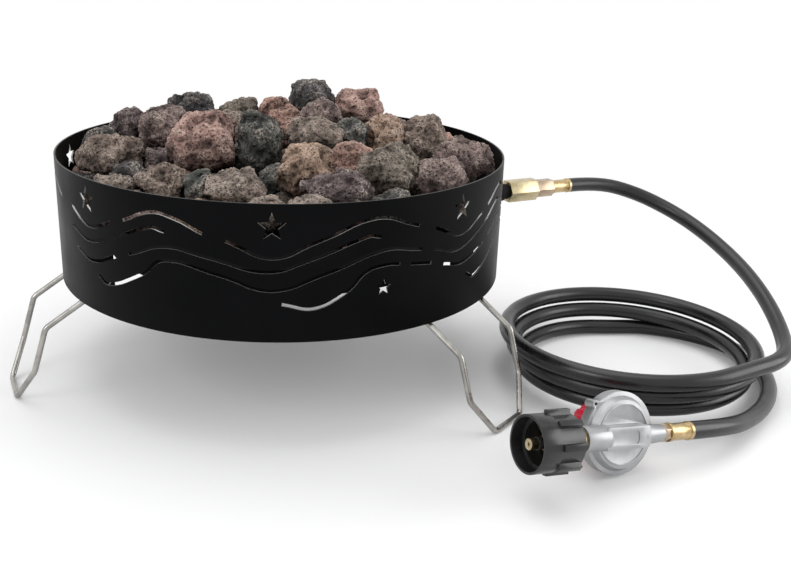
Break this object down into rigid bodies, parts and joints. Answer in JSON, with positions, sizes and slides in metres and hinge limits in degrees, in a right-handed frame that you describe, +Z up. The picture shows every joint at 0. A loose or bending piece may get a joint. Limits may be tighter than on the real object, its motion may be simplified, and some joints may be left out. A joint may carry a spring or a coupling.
{
  "type": "portable fire pit",
  "caption": "Round portable gas fire pit: a wave-slotted steel ring of lava rock on folding wire legs, with a burner, coiled hose, regulator, red knob and cylinder hand nut.",
  "frame": {"origin": "on the ground, under the middle of the fire ring", "axes": "+X towards the hose side, +Y towards the rear, +Z up"},
  "size_m": [0.7192, 0.5471, 0.262],
  "materials": {
    "ring_paint": "satin black powder coat",
    "pan_paint": "matt black heat paint",
    "leg_wire": "bright",
    "burner_steel": "plain",
    "zinc_steel": "zinc plated",
    "brass": "machined",
    "hose_rubber": "smooth",
    "cast_body": "die cast",
    "inner_rubber": "plain",
    "spring_steel": "bright",
    "knob_red": "moulded",
    "nut_black": "moulded",
    "lava_mixed": "porous",
    "lava_red": "porous",
    "lava_tan": "porous",
    "lava_grey": "porous"
  },
  "bodies": {
    "pit": {"burner_arms": "burner_steel", "burner_hub": "burner_steel", "burner_inlet": "burner_steel", "burner_ring": "burner_steel", "burner_saddles": "burner_steel", "diaphragm": "inner_rubber", "fire_ring": "ring_paint", "gas_orifice": "brass", "hose_coil": "hose_rubber", "hose_ferrule_pit_end": "brass", "hose_ferrule_regulator_end": "brass", "hose_lead": "hose_rubber", "hose_nut": "brass", "hose_stem_pit_end": "brass", "hose_stem_regulator_end": "brass", "hose_tail": "hose_rubber", "inlet_coupling": "brass", "inlet_nipple": "brass", "inlet_seat": "brass", "lava_rocks_bed": "lava_mixed", "lava_rocks_bowl": "lava_mixed", "lava_rocks_crown": "lava_red", "lava_rocks_front": "lava_grey", "lava_rocks_hearth": "lava_grey", "lava_rocks_left": "lava_red", "lava_rocks_middle": "lava_mixed", "lava_rocks_rear": "lava_mixed", "lava_rocks_right": "lava_tan", "leg_bracket_left": "pan_paint", "leg_bracket_rear": "pan_paint", "leg_bracket_right": "pan_paint", "lever_pin": "spring_steel", "mixer_lock_nuts": "zinc_steel", "mixer_tube": "pan_paint", "nipple_seal": "inner_rubber", "nut_bush": "brass", "regulator_body": "cast_body", "regulator_bonnet": "cast_body", "rock_pan": "pan_paint", "spring_button": "zinc_steel"},
    "leg_right": {"leg_right": "leg_wire"},
    "leg_rear": {"leg_rear": "leg_wire"},
    "leg_left": {"leg_left": "leg_wire"},
    "air_shutter": {"air_shutter": "pan_paint", "shutter_screw": "zinc_steel"},
    "cylinder_nut": {"cylinder_nut": "nut_black"},
    "pressure_knob": {"pressure_knob": "knob_red", "adjusting_screw": "zinc_steel"},
    "diaphragm_plate": {"diaphragm_plate": "zinc_steel", "range_spring": "spring_steel"},
    "valve_lever": {"valve_lever": "zinc_steel", "valve_pad": "inner_rubber"}
  },
  "joints": [
    {"name": "leg_right_fold", "type": "hinge", "parent": "pit", "child": "leg_right", "pos_m": [0.14175, -0.09742, 0.105], "axis": [0.5664, 0.8241, 0], "range_deg": [0, 128]},
    {"name": "leg_rear_fold", "type": "hinge", "parent": "pit", "child": "leg_rear", "pos_m": [0.0135, 0.17147, 0.105], "axis": [-0.9969, 0.0785, 0], "range_deg": [0, 128]},
    {"name": "leg_left_fold", "type": "hinge", "parent": "pit", "child": "leg_left", "pos_m": [-0.15524, -0.07405, 0.105], "axis": [0.4305, -0.9026, 0], "range_deg": [0, 128]},
    {"name": "air_shutter_turn", "type": "hinge", "parent": "pit", "child": "air_shutter", "pos_m": [0.20131, 0.10704, 0.1405], "axis": [0.8829, 0.4695, 0], "range_deg": [0, 90]},
    {"name": "cylinder_nut_spin", "type": "hinge", "parent": "pit", "child": "cylinder_nut", "pos_m": [0.22516, -0.26212, 0.04792], "axis": [0.8782, 0.4591, -0.134], "continuous": true},
    {"name": "pressure_knob_turn", "type": "hinge", "parent": "pit", "child": "pressure_knob", "pos_m": [0.27518, -0.19801, 0.02818], "axis": [-0.4781, 0.8348, -0.2732], "range_deg": [0, 1080]},
    {"name": "diaphragm_plate_slide", "type": "slide", "parent": "pit", "child": "diaphragm_plate", "axis": [-0.4781, 0.8348, -0.2732], "range_m": [0, 0.0005], "stiffness_N_per_m": 1000, "springref_m": -0.001},
    {"name": "valve_lever_swing", "type": "hinge", "parent": "pit", "child": "valve_lever", "pos_m": [0.29303, -0.22121, 0.03584], "axis": [0.0136, -0.3039, -0.9526], "range_deg": [0, 7.2]}
  ],
  "couplings": [
    {"joint": "valve_lever_swing", "follows": "diaphragm_plate_slide", "rad_per_m": 250}
  ]
}
